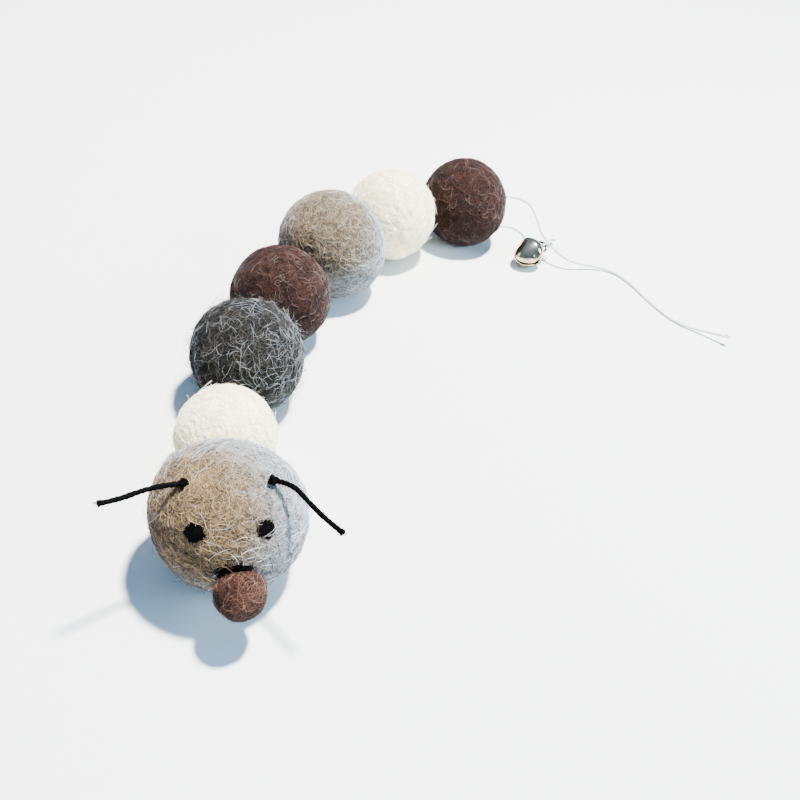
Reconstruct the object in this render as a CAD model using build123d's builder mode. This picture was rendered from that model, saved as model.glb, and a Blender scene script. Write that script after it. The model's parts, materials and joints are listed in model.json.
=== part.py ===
from build123d import *
from math import cos, pi, radians, sin, sqrt, tan
import os

# A toy mouse made of felted wool balls threaded on one cord, with a jingle bell tied to its tail.
# Millimetres and degrees. +Z is up, the balls rest on Z = 0, and the head looks towards -Y.

os.makedirs("parts", exist_ok=True)

# ---- Driving dimensions: the chain of balls ----
head_d = 29.6
ball_names = [
    "white_ball_front",
    "charcoal_ball",
    "brown_ball_front",
    "beige_ball",
    "white_ball_rear",
    "brown_ball_rear",
]
ball_d = [21.6, 26.2, 24.6, 27.8, 25.4, 25.4]
chain_headings = [-15.6, -2.1, 6.1, 20.7, 31.9, 55.8]  # each ball to the next, clockwise from +Y
tail_heading = 52.0  # the way the cord leaves the last ball, clockwise from +Y
tail_slope = -5.0
ball_gap = 0.7  # bare cord between two balls

# ---- Driving dimensions: the cord that carries the balls ----
cord_d = 0.8
cord_fit = 0.05  # clearance around the cord in a ball
core_bend_r = 12.0  # bend of the cord at a ball's centre
bore_overrun = 1.0  # the cutter for a bore runs this far past the cord inside it
link_l = 4.0  # the stretch of cord that flexes between two balls
link_end_gap = 0.12
pocket_d = 3.0  # hollow that the cord flexes in, at each end of a ball's bore
knot_d = 2.5  # start knot and stop knot, hidden in the first and last balls
knot_l = 2.0
start_knot_depth = 5.0  # from the head's centre towards the face

# ---- Driving dimensions: face ----
# Places on the head are an azimuth from the face towards the toy's left cheek, and an elevation.
nose_d = 9.4
nose_sink = 2.7  # how deep the nose is pressed into the head's outline
nose_place = (4.0, -7.5)
nose_tuft_d = 7.4
nose_tuft_t = 0.6
nose_tuft_place = (0.0, -1.5)
eye_d = 3.8
eye_h = 0.45
eye_places = {"left": (-32.5, 34.0), "right": (29.5, 34.0)}  # as seen from in front

# ---- Driving dimensions: whiskers ----
whisker_d = 1.05
whisker_knot_d = 2.3
whisker_places = {"left": (-72.0, 55.5), "right": (67.0, 58.0)}  # as seen from in front
whisker_knot_sink = 0.3
whisker_joint_gap = 0.15
whisker_thread_depth = 4.5
whisker_end_d = 1.5
whisker_end_l = 1.0
# Each whisker's route: sideways, forwards and upwards from the centre of its knot.
whisker_routes = {
    "left": [(-3.2, 0.8, 0.7), (-7.0, 2.4, 1.3), (-10.8, 4.6, 1.7), (-13.9, 6.0, 2.6)],
    "right": [(3.2, 1.5, 0.6), (5.8, 5.7, 0.3), (8.4, 9.7, 0.0), (11.1, 13.4, 0.4)],
}

# ---- Driving dimensions: tail and bell ----
# The tail's route: X and Y from the last ball's centre, and height above the ground.
tail_route = [
    (14.6, 11.2, 10.9),
    (20.9, 10.6, 10.0),
    (23.6, 4.2, 8.4),
    (25.2, -2.6, 7.0),
    (30.0, -8.0, 4.8),
    (35.5, -9.4, 2.8),
    (42.0, -6.9, 1.2),
    (49.0, -6.6, 0.5),
    (54.5, -12.2, 0.42),
    (59.6, -21.0, 0.42),
    (66.0, -29.2, 0.42),
    (73.5, -32.2, 1.0),
    (80.6, -36.0, 3.0),
]
hitch_run = 3  # the bell's hitch is at the middle of the run that starts at this point of the route
hitch_d = 2.3
hitch_l = 2.5
hitch_seat = 0.8  # hitch centre past the small ring of cord that holds the loop
tail_knot_d = 1.7
tail_knot_l = 1.5
bell_d = 8.6
bell_wall = 0.35
bell_nose = 0.5  # how far the two lips run to a blunt point past the sphere
bell_slot = 0.7
bell_hole_d = 1.6
bell_turn = -12  # from the axis that the bell swings on to the first end of its slot
bell_heading = 49.5  # from the bell's centre to its loop, clockwise from +Y
loop_wire_d = 0.6
loop_inner_d = 1.9
loop_stand = 0.75  # loop centre above the bell's top
loop_fit = 0.03
bight_r = 0.85  # the small ring of cord that holds the loop
pellet_d = 2.2
pellet_gap = 0.05

# ---- Values worked out from the driving dimensions ----
cord_r = cord_d / 2
bore_r = cord_r + cord_fit
head_r = head_d / 2
ball_r = [diameter / 2 for diameter in ball_d]
all_r = [head_r] + ball_r
bell_r = bell_d / 2


def direction(heading, slope=0.0):
    """Unit vector at a heading clockwise from +Y, and a slope up from the ground."""
    flat = cos(radians(slope))
    return Vector(flat * sin(radians(heading)), flat * cos(radians(heading)), sin(radians(slope)))


def chain_centres():
    """Centres of the head and the balls, each resting on the ground, one gap apart."""
    places = [Vector(0, 0, head_r)]
    for heading, near, far in zip(chain_headings, all_r, all_r[1:]):
        reach = near + far + ball_gap
        run = sqrt(reach**2 - (far - near) ** 2)
        step = direction(heading) * run
        places.append(Vector(places[-1].X + step.X, places[-1].Y + step.Y, far))
    return places


# ---- The head's own directions: sideways to its left cheek, forwards and up ----
face_forward = direction(chain_headings[0]) * -1
face_side = Vector(-face_forward.Y, face_forward.X, 0)
face_up = Vector(0, 0, 1)


def head_vector(azimuth, elevation):
    """Unit vector from the head's centre: azimuth from the face towards face_side."""
    flat = cos(radians(elevation))
    across = face_side * (flat * sin(radians(azimuth)))
    along = face_forward * (flat * cos(radians(azimuth)))
    return across + along + face_up * sin(radians(elevation))


def head_offset(offset):
    """A vector given sideways, forwards and upwards in the head's own directions."""
    return face_side * offset[0] + face_forward * offset[1] + face_up * offset[2]


nose_way = head_vector(*nose_place)
nose_height = head_r + nose_d / 2 - nose_sink  # nose centre from head centre
whisker_ways = {side: head_vector(*place) for side, place in whisker_places.items()}
knot_height = head_r + whisker_knot_d / 2 - whisker_knot_sink  # whisker knot from head centre

# The origin is under the middle of the box that holds the balls, the nose and the whiskers' ends.
raw_centres = chain_centres()
round_pieces = list(zip(raw_centres, all_r)) + [(raw_centres[0] + nose_way * nose_height, nose_d / 2)]
for side, way in whisker_ways.items():
    tip = raw_centres[0] + way * knot_height + head_offset(whisker_routes[side][-1])
    round_pieces.append((tip, whisker_d / 2))
mid_x = (min(c.X - r for c, r in round_pieces) + max(c.X + r for c, r in round_pieces)) / 2
mid_y = (min(c.Y - r for c, r in round_pieces) + max(c.Y + r for c, r in round_pieces)) / 2
centres = [c - Vector(mid_x, mid_y, 0) for c in raw_centres]
head_centre = centres[0]
last_centre = centres[-1]


def between(start, end):
    """Unit vector from one point to another."""
    return (end - start).normalized()


# The cord runs straight from each ball's centre to the next, and leaves the last one at its own heading.
runs = [between(near, far) for near, far in zip(centres, centres[1:])]
runs.append(direction(tail_heading, tail_slope))
pivots = [c + run * (r + ball_gap / 2) for c, run, r in zip(centres, runs, all_r)][:-1]


def save(part, name):
    """Label a finished piece and write it."""
    part.label = name
    export_step(part, f"parts/{name}.step")


def tube(points, radii, diameter):
    """A round tube along straight runs joined by arcs."""
    with BuildPart() as made:
        with BuildLine() as path:
            if len(points) > 2:
                FilletPolyline(*points, radius=radii)
            else:
                Line(*points)
        route = path.wire()
        with BuildSketch(Plane(origin=route @ 0, z_dir=route % 0)):
            Circle(diameter / 2)
        sweep(path=route)
    return made.part, route.length


def corner_radii(points, share=0.45):
    """The largest arc that each corner of a route has room for."""
    radii = []
    for before, corner, after in zip(points, points[1:], points[2:]):
        shorter = min((corner - before).length, (after - corner).length)
        turn = (corner - before).get_angle(after - corner)
        radii.append(share * shorter / tan(radians(turn / 2)))
    return radii


def knot(place, along, diameter, length, cores):
    """An egg-shaped knot drawn tight around the cord that runs through it."""
    with BuildPart() as made:
        with BuildSketch(Plane(origin=place, x_dir=along, z_dir=along.cross(face_up))):
            Ellipse(length / 2, diameter / 2)
            Rectangle(length, diameter, align=(Align.CENTER, Align.MAX), mode=Mode.SUBTRACT)
        revolve(axis=Axis(place, along))
        for core in cores:
            add(core, mode=Mode.SUBTRACT)
    return made.part


# ---- The cord inside the balls ----
core_start = link_l / 2 - ball_gap / 2 + link_end_gap  # depth of the flexing stretch inside a ball


def core_route(index, spare=0.0):
    """Points of the cord inside a ball: in at the front, through the centre, out at the back."""
    centre, radius = centres[index], all_r[index]
    entry = centre - runs[index - 1] * (radius - core_start + spare)
    leave = radius - core_start
    if index == len(centres) - 1:
        leave = radius  # the last ball's cord runs on to its surface and becomes the tail
    return [entry, centre, centre + runs[index] * (leave + spare)]


def head_core_route(spare=0.0):
    """Points of the cord inside the head: from its start knot to the neck."""
    start = head_centre - runs[0] * start_knot_depth
    return [start, head_centre + runs[0] * (head_r - core_start + spare)]


start_knot_centre = head_centre - runs[0] * (start_knot_depth - knot_l / 2)
stop_knot_centre = last_centre + runs[-1] * (ball_r[-1] - knot_l / 2)

cores = [tube(head_core_route(), [], cord_d)[0]]
for index in range(1, len(centres)):
    cores.append(tube(core_route(index), [core_bend_r], cord_d)[0])
save(cores[0], "string_core_head")
for number, core in enumerate(cores[1:], start=1):
    save(core, f"string_core_{number}")

save(knot(start_knot_centre, runs[0], knot_d, knot_l, [cores[0]]), "start_knot")
save(knot(stop_knot_centre, runs[-1], knot_d, knot_l, [cores[-1]]), "stop_knot")

for number, (pivot, run) in enumerate(zip(pivots, runs), start=1):
    half = run * (link_l / 2)
    save(tube([pivot - half, pivot + half], [], cord_d)[0], f"string_link_{number}")


# ---- Whiskers: one waxed cord through the head, with a knot outside each cheek ----
thread_points = [head_centre + whisker_ways["left"] * head_r]
thread_points.append(head_centre + whisker_ways["left"] * (head_r - whisker_thread_depth))
thread_points.append(head_centre + whisker_ways["right"] * (head_r - whisker_thread_depth))
thread_points.append(head_centre + whisker_ways["right"] * head_r)
whisker_thread = tube(thread_points, corner_radii(thread_points), whisker_d)[0]
save(whisker_thread, "whisker_thread")


def whisker(side):
    """A whisker from its knot to the small flared end."""
    knot_centre = head_centre + whisker_ways[side] * knot_height
    points = [knot_centre + head_offset(offset) for offset in whisker_routes[side]]
    out = between(knot_centre, points[0])
    start = knot_centre + out * (whisker_knot_d / 2 + whisker_joint_gap)
    route = [start] + points
    body = tube(route, corner_radii(route), whisker_d)[0]
    end_way = between(route[-2], route[-1])
    with BuildPart() as made:
        add(body)
        with BuildSketch(Plane(origin=route[-1] - end_way * whisker_end_l, z_dir=end_way)) as inner:
            Circle(whisker_d / 2)
        with BuildSketch(Plane(origin=route[-1], z_dir=end_way)) as outer:
            Circle(whisker_end_d / 2)
        loft([inner.sketch.face(), outer.sketch.face()])
    return made.part


def seated_ball(way, height, diameter):
    """A ball seated on the head's surface, flat against it, along a way out from the head's centre."""
    with BuildPart() as made:
        with Locations(Plane(origin=head_centre + way * height, z_dir=way)):
            Sphere(diameter / 2)
        with Locations(Plane(origin=head_centre, z_dir=way)):
            Sphere(head_r, mode=Mode.SUBTRACT)
    return made.part


for side in ("left", "right"):
    save(seated_ball(whisker_ways[side], knot_height, whisker_knot_d), f"whisker_knot_{side}")
    save(whisker(side), f"whisker_{side}")


# ---- Head ----
def pocket(ball_centre, radius, run):
    """The hollow that the cord flexes in, where it leaves a ball, as a cutter."""
    with BuildPart() as cutter:
        with BuildSketch(Plane(origin=ball_centre + run * (radius - core_start), z_dir=run)):
            Circle(pocket_d / 2)
        extrude(amount=core_start + ball_gap)
    return cutter.part


thread_bore_d = whisker_d + 2 * cord_fit
thread_bore = tube(thread_points, corner_radii(thread_points), thread_bore_d)[0]
head_bore = tube(head_core_route(bore_overrun), [], 2 * bore_r)[0]
with BuildPart() as head_ball:
    with Locations(head_centre):
        Sphere(head_r)
    with Locations(Plane(origin=start_knot_centre, z_dir=runs[0])):
        Sphere(knot_d / 2 + cord_fit, mode=Mode.SUBTRACT)
    add(head_bore, mode=Mode.SUBTRACT)
    add(thread_bore, mode=Mode.SUBTRACT)
    add(pocket(head_centre, head_r, runs[0]), mode=Mode.SUBTRACT)
save(head_ball.part, "head_ball")


# ---- Face ----
def face_patch(place, diameter, height):
    """A thin round patch of wool that follows the head's surface."""
    way = head_vector(*place)
    with BuildPart() as made:
        with Locations(Plane(origin=head_centre, z_dir=way)):
            Sphere(head_r + height)
            Sphere(head_r, mode=Mode.SUBTRACT)
        with BuildSketch(Plane(origin=head_centre, z_dir=way)):
            Circle(diameter / 2)
        extrude(amount=head_r + 2 * height, mode=Mode.INTERSECT)
    return made.part


save(seated_ball(nose_way, nose_height, nose_d), "nose_ball")

with BuildPart() as nose_tuft:
    add(face_patch(nose_tuft_place, nose_tuft_d, nose_tuft_t))
    with Locations(Plane(origin=head_centre + nose_way * nose_height, z_dir=nose_way)):
        Sphere(nose_d / 2, mode=Mode.SUBTRACT)
save(nose_tuft.part, "nose_tuft")

for side, place in eye_places.items():
    save(face_patch(place, eye_d, eye_h), f"eye_{side}")


# ---- Body balls ----
def body_ball(index):
    """A felt ball with the bore that the cord runs through."""
    centre, radius = centres[index], all_r[index]
    is_last = index == len(centres) - 1
    bore = tube(core_route(index, bore_overrun), [core_bend_r], 2 * bore_r)[0]
    with BuildPart() as made:
        with Locations(centre):
            Sphere(radius)
        add(bore, mode=Mode.SUBTRACT)
        add(pocket(centre, radius, runs[index - 1] * -1), mode=Mode.SUBTRACT)
        if is_last:
            with Locations(Plane(origin=stop_knot_centre, z_dir=runs[-1])):
                Sphere(knot_d / 2 + cord_fit, mode=Mode.SUBTRACT)
        else:
            add(pocket(centre, radius, runs[index]), mode=Mode.SUBTRACT)
    return made.part


for index, name in enumerate(ball_names, start=1):
    save(body_ball(index), name)

# ---- Tail cord ----
tail_points = [last_centre + runs[-1] * ball_r[-1]]
tail_points += [Vector(last_centre.X + x, last_centre.Y + y, z) for x, y, z in tail_route]
tail_radii = corner_radii(tail_points)
tail_cord, tail_length = tube(tail_points, tail_radii, cord_d)
save(tail_cord, "tail_cord")
print("tail radii", [round(radius, 1) for radius in tail_radii])
print("tail length", round(tail_length, 1), "volume", round(tail_cord.volume, 2))
print("section times length", round(pi * cord_r**2 * tail_length, 2))

tail_end_way = between(tail_points[-2], tail_points[-1])
tail_knot_centre = tail_points[-1] - tail_end_way * (tail_knot_l * 0.75)
save(knot(tail_knot_centre, tail_end_way, tail_knot_d, tail_knot_l, [tail_cord]), "tail_end_knot")

# ---- Bell: its axis runs from its centre up to the hitch ----
hitch_start, hitch_end = tail_points[hitch_run + 1], tail_points[hitch_run + 2]
hitch_centre = (hitch_start + hitch_end) * 0.5
hitch_way = between(hitch_start, hitch_end)
loop_r = loop_inner_d / 2 + loop_wire_d / 2
loop_height = bell_r + loop_stand
bight_height = loop_height + loop_r
bell_reach = bight_height + bight_r + hitch_seat
bell_rise = hitch_centre.Z - bell_r
bell_flat = sqrt(bell_reach**2 - bell_rise**2)
bell_step = direction(bell_heading) * bell_flat
bell_centre = hitch_centre - Vector(bell_step.X, bell_step.Y, bell_rise)
bell_axis = between(bell_centre, hitch_centre)
bell_side = bell_axis.cross(Vector(0, -0.55, 0.83)).normalized()
bell_plane = Plane(origin=bell_centre, x_dir=bell_side, z_dir=bell_axis)

bight_plane = Plane(origin=bell_centre + bell_axis * bight_height, x_dir=bell_axis, z_dir=bell_side)
with BuildPart() as bell_hitch:
    add(knot(hitch_centre, hitch_way, hitch_d, hitch_l, []))
    with Locations(bight_plane):
        Torus(bight_r, cord_r)
    add(tail_cord, mode=Mode.SUBTRACT)
save(bell_hitch.part, "bell_hitch")

loop_plane = Plane(origin=bell_centre + bell_axis * loop_height, x_dir=bell_axis, z_dir=bell_plane.y_dir)
with BuildPart() as bell_loop:
    with Locations(loop_plane):
        Torus(loop_r, loop_wire_d / 2)
save(bell_loop.part, "bell_loop")


def bell_outline(radius, nose):
    """Half outline of the bell: a round top, and lips that run to a blunt point."""
    with BuildLine() as outline:
        CenterArc((0, 0), radius, 0, 90)
        ThreePointArc((radius, 0), (radius * 0.74, -radius * 0.70), (0, -radius - nose))
        Line((0, radius), (0, -radius - nose))
    return outline.line


lip_plane = bell_plane.rotated((0, 0, bell_turn))
with BuildPart() as bell_shell:
    with BuildSketch(Plane(origin=bell_centre, x_dir=lip_plane.x_dir, z_dir=lip_plane.y_dir * -1)) as profile:
        with BuildLine():
            add(bell_outline(bell_r, bell_nose))
        make_face()
        with BuildLine():
            add(bell_outline(bell_r - bell_wall, bell_nose))
        make_face(mode=Mode.SUBTRACT)
    revolve(axis=Axis(bell_centre, bell_axis))
    slot_depth = bell_r + bell_nose + 1
    with BuildSketch(lip_plane):
        Rectangle(2 * bell_d, bell_slot)
    extrude(amount=-slot_depth, mode=Mode.SUBTRACT)
    with BuildSketch(Plane(origin=bell_centre, z_dir=lip_plane.x_dir)):
        Circle(bell_hole_d / 2)
    extrude(amount=bell_d, both=True, mode=Mode.SUBTRACT)
    with Locations(loop_plane):
        Torus(loop_r, loop_wire_d / 2 + loop_fit, mode=Mode.SUBTRACT)
save(bell_shell.part, "bell_shell")

pellet_drop = bell_r - bell_wall - pellet_d / 2 - pellet_gap
with BuildPart() as bell_pellet:
    with Locations(bell_centre - Vector(0, 0, pellet_drop)):
        Sphere(pellet_d / 2)
save(bell_pellet.part, "bell_pellet")

# ---- Joint places for the record ----
def metres(point):
    """A point in metres, rounded to a micron."""
    return [round(value / 1000, 6) for value in point]


def unit(way):
    """A direction, rounded."""
    return [round(value, 4) for value in way]


for number, pivot in enumerate(pivots, start=1):
    print(f"pivot {number}", metres(pivot))
for side, way in whisker_ways.items():
    print(f"whisker {side}", metres(head_centre + way * knot_height), unit(way))
print("bell pivot", metres(bell_centre + bell_axis * bight_height))
print("bell swing axis", unit(bell_side), "bell axis", unit(bell_axis))
print("bell centre", metres(bell_centre), "tail tip", metres(tail_points[-1]))
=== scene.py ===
# %% [markdown]
# # A mouse of felted wool balls, with a bell on its tail
# Seven balls of felted wool sit on one cord, like beads. The first is the head, with a small
# ball for a nose, needle-felted eyes and two cord whiskers. The cord runs on as a white tail
# with a jingle bell tied to it. The CAD model has every piece's place and the joints, and
# these cells give each piece the surface of the real thing, in the same frame, in metres.

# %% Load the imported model
import json
import math

import bmesh
import bpy
import numpy as np
from mathutils import Matrix, Vector

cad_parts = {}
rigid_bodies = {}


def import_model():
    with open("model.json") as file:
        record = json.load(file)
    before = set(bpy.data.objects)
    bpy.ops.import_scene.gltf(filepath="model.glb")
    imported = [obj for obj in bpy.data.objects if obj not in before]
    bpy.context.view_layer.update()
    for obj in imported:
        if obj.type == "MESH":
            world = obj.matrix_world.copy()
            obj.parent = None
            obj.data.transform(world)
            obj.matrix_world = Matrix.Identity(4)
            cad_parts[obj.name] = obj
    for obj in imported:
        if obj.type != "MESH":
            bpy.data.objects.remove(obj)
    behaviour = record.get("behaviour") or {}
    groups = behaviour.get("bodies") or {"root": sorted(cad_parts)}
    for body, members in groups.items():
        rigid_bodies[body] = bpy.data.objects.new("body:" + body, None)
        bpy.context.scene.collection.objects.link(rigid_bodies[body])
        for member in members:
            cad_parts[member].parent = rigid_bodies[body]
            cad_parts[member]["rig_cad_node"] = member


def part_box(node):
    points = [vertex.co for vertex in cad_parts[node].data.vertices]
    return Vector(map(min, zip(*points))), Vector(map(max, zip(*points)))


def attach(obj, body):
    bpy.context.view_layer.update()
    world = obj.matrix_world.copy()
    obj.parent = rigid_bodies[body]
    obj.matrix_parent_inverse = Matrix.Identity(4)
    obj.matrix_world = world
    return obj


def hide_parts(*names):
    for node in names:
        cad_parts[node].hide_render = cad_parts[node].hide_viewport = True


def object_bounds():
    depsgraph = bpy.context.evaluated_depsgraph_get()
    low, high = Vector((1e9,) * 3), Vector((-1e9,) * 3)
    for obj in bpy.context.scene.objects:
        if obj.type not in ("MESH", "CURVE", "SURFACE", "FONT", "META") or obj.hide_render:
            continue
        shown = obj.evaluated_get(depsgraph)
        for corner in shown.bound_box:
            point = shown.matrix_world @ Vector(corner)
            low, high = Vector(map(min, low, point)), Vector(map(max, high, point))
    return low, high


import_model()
cad_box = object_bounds()
mm = 0.001
print("CAD box, mm:", [[round(v / mm, 1) for v in corner] for corner in cad_box])

# %% [markdown]
# ## Camera
# The toy lies on a table and is seen from above its face, a forearm's length away, with the
# camera turned a little about its own axis. A lens a bit longer than normal gives the same
# narrowing from the head to the last ball. Nothing is shifted and everything is in focus.

# %% Camera
camera_place = Vector((11.11, -175.71, 151.13)) * mm
camera_heading, camera_dip, camera_roll = 0.78, 42.09, 9.51  # degrees
camera_data = bpy.data.cameras.new("camera")
camera_data.lens = 40.28
camera_data.clip_start = 0.005
camera = bpy.data.objects.new("camera", camera_data)
bpy.context.scene.collection.objects.link(camera)
camera.matrix_world = (
    Matrix.Translation(camera_place)
    @ Matrix.Rotation(math.radians(-camera_heading), 4, "Z")
    @ Matrix.Rotation(math.radians(90 - camera_dip), 4, "X")
    @ Matrix.Rotation(math.radians(camera_roll), 4, "Z")
)
bpy.context.scene.camera = camera
print("camera at, mm:", [round(v / mm) for v in camera_place])

# %% [markdown]
# ## Where things are
# Every ball is a sphere in the CAD model, so the middle of its box is its centre and half its
# width is its radius. Places on the head are given as they would be to a maker: so many
# degrees round from the face, and so many degrees up.

# %% Centres and directions
ball_names = [
    "head_ball",
    "white_ball_front",
    "charcoal_ball",
    "brown_ball_front",
    "beige_ball",
    "white_ball_rear",
    "brown_ball_rear",
]


def ball_of(node):
    """Centre and radius of a CAD sphere."""
    low, high = (Vector(corner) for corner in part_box(node))
    return (low + high) / 2, (high.z - low.z) / 2


def heading_vector(heading, slope=0.0):
    """Unit vector at a heading clockwise from +Y, and a slope up."""
    flat = math.cos(math.radians(slope))
    turn = math.radians(heading)
    return Vector((flat * math.sin(turn), flat * math.cos(turn), math.sin(math.radians(slope))))


centres, radii = zip(*(ball_of(name) for name in ball_names))
centres, radii = list(centres), list(radii)
head, head_r = centres[0], radii[0]
face_forward = -heading_vector(-15.6)
face_side = Vector((-face_forward.y, face_forward.x, 0))  # towards the right, as seen from in front
face_up = Vector((0, 0, 1))


def head_way(azimuth, elevation):
    """Direction from the head's centre to a place on it."""
    flat = math.cos(math.radians(elevation))
    turn = math.radians(azimuth)
    way = face_side * (flat * math.sin(turn)) + face_forward * (flat * math.cos(turn))
    return way + face_up * math.sin(math.radians(elevation))


print("radii, mm:", [round(r / mm, 1) for r in radii])

# %% [markdown]
# ## The tail's line
# A thin cotton cord has almost no stiffness. It leaves the last ball, drops to the ground and
# lies in loose bends, and near its end it lifts a little. One smooth spline with a few
# control points gives that line, and the twisted cord, its knots and the bell all follow it.

# %% Tail route
cord_d = 0.8 * mm
tail_heading, tail_slope = 52.0, -5.0
tail_route = [
    (14.6, 11.2, 10.9),
    (20.9, 10.6, 10.0),
    (23.6, 4.2, 8.4),
    (25.2, -2.6, 7.0),
    (30.0, -8.0, 4.8),
    (35.5, -9.4, 2.8),
    (42.0, -6.9, 1.2),
    (49.0, -6.6, 0.5),
    (54.5, -12.2, 0.42),
    (59.6, -21.0, 0.42),
    (66.0, -29.2, 0.42),
    (73.5, -32.2, 1.0),
    (80.6, -36.0, 3.0),
]
last, last_r = centres[-1], radii[-1]
tail_points = [last + heading_vector(tail_heading, tail_slope) * last_r]
tail_points += [Vector((last.x + x * mm, last.y + y * mm, z * mm)) for x, y, z in tail_route]


def spline_line(name, points):
    """Points along the smooth NURBS spline that has these control points."""
    curve = bpy.data.curves.new(name, "CURVE")
    curve.dimensions = "3D"
    curve.resolution_u = 16
    spline = curve.splines.new("NURBS")
    spline.points.add(len(points) - 1)
    for control, place in zip(spline.points, points):
        control.co = (*place, 1.0)
    spline.order_u = 3
    spline.use_endpoint_u = True
    holder = bpy.data.objects.new(name, curve)
    line = bpy.data.meshes.new_from_object(holder)
    places = [vertex.co.copy() for vertex in line.vertices]
    bpy.data.objects.remove(holder)
    bpy.data.meshes.remove(line)
    return places


def line_length(places):
    return sum((b - a).length for a, b in zip(places, places[1:]))


tail_line = spline_line("tail line", tail_points)

# %% [markdown]
# ## Meshes from arrays
# Wool needs thousands of fibres, so meshes are filled from numpy arrays. One helper makes an
# object from vertices and faces, gives it its materials, and rides it on a body of the CAD
# model, so that it moves with the joints.

# %% Piece helper
def new_piece(name, vertices, faces, body, materials, face_materials=None, slot=None):
    mesh = bpy.data.meshes.new(name)
    mesh.from_pydata(np.asarray(vertices).tolist(), [], [list(face) for face in faces])
    mesh.polygons.foreach_set("use_smooth", [True] * len(mesh.polygons))
    for material in materials:
        mesh.materials.append(material)
    if face_materials is not None:
        mesh.polygons.foreach_set("material_index", np.asarray(face_materials, dtype=np.int32))
    mesh.update()
    piece = bpy.data.objects.new(name, mesh)
    bpy.context.scene.collection.objects.link(piece)
    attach(piece, body)
    return piece


def unit_rows(rows):
    """Each vector of an array, made one long."""
    return rows / np.maximum(np.linalg.norm(rows, axis=-1, keepdims=True), 1e-12)


def ring_faces(rings, sides):
    """Faces between rings of points that follow one another."""
    faces = []
    for ring in range(rings - 1):
        for side in range(sides):
            a, b = ring * sides + side, ring * sides + (side + 1) % sides
            faces.append((a, b, b + sides, a + sides))
    return faces


# %% [markdown]
# ## Wool, as a texture
# Up close, felt is a mat of curled fibres pressed flat. A contour line of a soft noise is a
# thin curling line, so three noises at different scales, each cut to its middle contour, give
# strands that cross one another. A slow noise under them moves the colour between the shade
# and the wool's own tone. The group puts out a colour and a height, and each wool has its own
# tones and strand size.

# %% Node helpers
def link_nodes(tree, output, target):
    tree.links.new(output, target)


def add_node(tree, kind, inputs=None, **settings):
    """A node with its settings, its plain input values, and links where a value is a socket."""
    node = tree.nodes.new(kind)
    for name, value in settings.items():
        setattr(node, name, value)
    for key, value in (inputs or {}).items():
        if isinstance(value, bpy.types.NodeSocket):
            link_nodes(tree, value, node.inputs[key])
        else:
            node.inputs[key].default_value = value
    return node


def new_group(name, inputs, outputs):
    """A shader node group with named sockets. Returns its tree, its inputs and its outputs."""
    tree = bpy.data.node_groups.new(name, "ShaderNodeTree")
    for socket, (kind, value) in inputs.items():
        made = tree.interface.new_socket(socket, in_out="INPUT", socket_type=kind)
        made.default_value = value
    for socket, kind in outputs.items():
        tree.interface.new_socket(socket, in_out="OUTPUT", socket_type=kind)
    return tree, tree.nodes.new("NodeGroupInput").outputs, tree.nodes.new("NodeGroupOutput").inputs


def math_node(tree, operation, first, second=0.0):
    return add_node(tree, "ShaderNodeMath", {0: first, 1: second}, operation=operation).outputs[0]


def mix_colours(tree, share, first, second):
    mix = add_node(tree, "ShaderNodeMix", {0: share, 6: first, 7: second}, data_type="RGBA")
    return mix.outputs[2]


def stretch(tree, value, low, high, first=0.0, last=1.0):
    """A value's place between low and high, as a number from first to last."""
    values = {0: value, 1: low, 2: high, 3: first, 4: last}
    return add_node(tree, "ShaderNodeMapRange", values).outputs[0]


def noise(tree, place, scale, **values):
    """A noise's value, about 0.5 at its middle."""
    inputs = {"Vector": place, "Scale": scale}
    inputs.update({name.title(): value for name, value in values.items()})
    return add_node(tree, "ShaderNodeTexNoise", inputs).outputs["Fac"]


def strands_at(tree, place, scale, width, offset):
    """One layer of curling strands: where a noise is near its middle value."""
    moved = add_node(
        tree, "ShaderNodeVectorMath", {0: place, 1: (offset, -offset, 2 * offset)}, operation="ADD"
    )
    field = noise(tree, moved.outputs[0], scale, detail=1.0, roughness=0.4)
    away = math_node(tree, "ABSOLUTE", math_node(tree, "SUBTRACT", field, 0.5))
    return stretch(tree, away, 0.0, width, 1.0, 0.0)


def shader_of(name):
    """A new material, its tree and its Principled shader."""
    material = bpy.data.materials.new(name)
    material.use_nodes = True
    tree = material.node_tree
    return material, tree, tree.nodes["Principled BSDF"]


def group_node(tree, group, values):
    """A node of a group, with its values."""
    node = add_node(tree, "ShaderNodeGroup", node_tree=group)
    for socket, value in values.items():
        node.inputs[socket].default_value = value
    return node


def add_bump(tree, shader, height, strength, distance):
    """Small relief on a shader, from a height."""
    values = {"Strength": strength, "Distance": distance, "Height": height}
    bump = add_node(tree, "ShaderNodeBump", values)
    link_nodes(tree, bump.outputs["Normal"], shader.inputs["Normal"])


# %% Felt group
felt_group, felt_in, felt_out = new_group(
    "Felted wool",
    {
        "Shade": ("NodeSocketColor", (0.1, 0.08, 0.06, 1)),
        "Wool": ("NodeSocketColor", (0.3, 0.25, 0.2, 1)),
        "Light": ("NodeSocketColor", (0.6, 0.55, 0.5, 1)),
        "Strand Scale": ("NodeSocketFloat", 900.0),
        "Strand Share": ("NodeSocketFloat", 0.6),
    },
    {"Color": "NodeSocketColor", "Height": "NodeSocketFloat", "Roughness": "NodeSocketFloat"},
)
felt_place = add_node(felt_group, "ShaderNodeTexCoord").outputs["Object"]
strand_scale = felt_in["Strand Scale"]
layers = []
for factor, width, offset in ((0.55, 0.035, 0.01), (0.9, 0.05, 0.03), (1.5, 0.07, 0.05)):
    layer_scale = math_node(felt_group, "MULTIPLY", strand_scale, factor)
    layers.append(strands_at(felt_group, felt_place, layer_scale, width, offset))
two_layers = math_node(felt_group, "MAXIMUM", *layers[:2])
strands = math_node(felt_group, "MAXIMUM", two_layers, layers[2])
cloud_scale = math_node(felt_group, "MULTIPLY", strand_scale, 0.22)
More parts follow.
